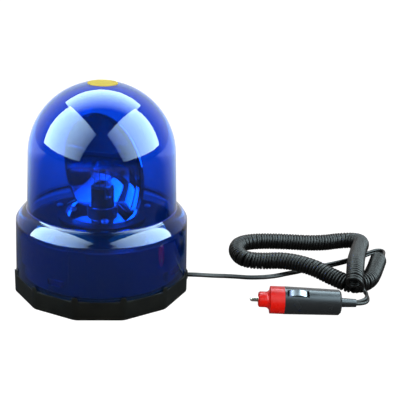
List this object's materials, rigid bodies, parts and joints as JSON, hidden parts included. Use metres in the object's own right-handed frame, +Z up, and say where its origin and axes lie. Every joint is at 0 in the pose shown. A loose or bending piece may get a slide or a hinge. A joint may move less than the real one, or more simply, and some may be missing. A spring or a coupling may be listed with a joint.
{
  "type": "rotating beacon",
  "caption": "Rotating warning beacon with a blue twist-off dome, a geared mirror turning round a bayonet lamp, a magnetic rubber-booted base and a curly lead to a lighter plug.",
  "frame": {"origin": "centre of the resting face of the rubber boot", "axes": "+Z up along the lamp axis, -Y the front, +X the side where the lead leaves"},
  "size_m": [0.3209, 0.1492, 0.1648],
  "materials": {
    "black_rubber": "matt",
    "zinc_steel": "satin",
    "ferrite": "matt",
    "black_plastic": "satin",
    "blue_lens": "clear, polished",
    "yellow_label": "satin",
    "nickel_brass": "bright",
    "clear_glass": "clear",
    "tungsten": "matt",
    "mirror_reflector": "polished",
    "white_acetal": "satin",
    "spring_steel": "bright",
    "copper": "bright",
    "carbon": "matt",
    "black_pvc": "satin",
    "dark_plastic": "satin",
    "red_plastic": "satin",
    "paper_board": "matt"
  },
  "bodies": {
    "base": {"rubber_boot": "black_rubber", "magnet_cup": "zinc_steel", "ring_magnet": "ferrite", "magnet_screw": "zinc_steel", "base_housing": "black_plastic", "deck_plate": "black_plastic", "deck_screws": "zinc_steel", "lens_seal": "black_rubber", "lamp_post": "black_plastic", "post_screws": "zinc_steel", "lamp_cap": "nickel_brass", "lamp_glass": "clear_glass", "lamp_filament": "tungsten", "contact_disc": "paper_board", "centre_contact": "nickel_brass", "contact_spring": "spring_steel", "thrust_washer": "white_acetal", "ring_clip": "spring_steel", "idler_axle": "zinc_steel", "idler_clip": "spring_steel", "motor_can": "zinc_steel", "motor_end_cap": "black_plastic", "motor_terminals": "copper", "motor_magnets": "ferrite", "motor_brushes": "carbon", "motor_screws": "zinc_steel", "lead_grommet": "black_pvc", "terminal_block": "white_acetal", "terminal_screws": "nickel_brass", "supply_lead": "black_pvc", "curly_lead": "black_pvc", "plug_lead": "black_pvc", "plug_strain_relief": "black_pvc", "plug_shell": "dark_plastic", "plug_nose": "red_plastic", "plug_spring": "spring_steel"},
    "lens": {"signal_lens": "blue_lens", "dome_sticker": "yellow_label"},
    "rotor": {"turntable_gear": "black_plastic", "reflector": "mirror_reflector", "reflector_screws": "zinc_steel"},
    "idler": {"idler_gear": "white_acetal"},
    "motor_rotor": {"motor_shaft": "zinc_steel", "motor_pinion": "white_acetal", "motor_armature": "zinc_steel", "commutator": "copper"},
    "plug_pin": {"plug_tip": "nickel_brass", "fuse_caps": "nickel_brass", "fuse_glass": "clear_glass"},
    "upper_contact": {"upper_side_contact": "spring_steel"},
    "lower_contact": {"lower_side_contact": "spring_steel"}
  },
  "joints": [
    {"name": "lens_twist", "type": "hinge", "parent": "base", "child": "lens", "pos_m": [0, 0, 0.02], "axis": [0, 0, 1], "range_deg": [0, 15]},
    {"name": "rotor_spin", "type": "hinge", "parent": "base", "child": "rotor", "pos_m": [0, 0, 0.055], "axis": [0, 0, 1], "continuous": true},
    {"name": "idler_spin", "type": "hinge", "parent": "base", "child": "idler", "pos_m": [-0.02168, 0.03096, 0.055], "axis": [0, 0, 1], "continuous": true},
    {"name": "motor_spin", "type": "hinge", "parent": "base", "child": "motor_rotor", "pos_m": [-0.01508, 0.02154, 0.04], "axis": [0, 0, 1], "continuous": true},
    {"name": "tip_slide", "type": "slide", "parent": "base", "child": "plug_pin", "axis": [0.9965, -0.0837, 0], "range_m": [0, 0.0025], "stiffness_N_per_m": 800, "springref_m": -0.004, "deforming": ["plug_spring"]},
    {"name": "upper_contact_press", "type": "slide", "parent": "base", "child": "upper_contact", "axis": [0.0443, 0.5281, -0.848], "range_m": [0, 0.0012], "stiffness_N_per_m": 2000, "springref_m": -0.001},
    {"name": "lower_contact_press", "type": "slide", "parent": "base", "child": "lower_contact", "axis": [-0.0443, -0.5281, 0.848], "range_m": [0, 0.0012], "stiffness_N_per_m": 2000, "springref_m": -0.001}
  ],
  "couplings": [
    {"joint": "idler_spin", "follows": "rotor_spin", "ratio": -8},
    {"joint": "motor_spin", "follows": "rotor_spin", "ratio": 28.8}
  ]
}
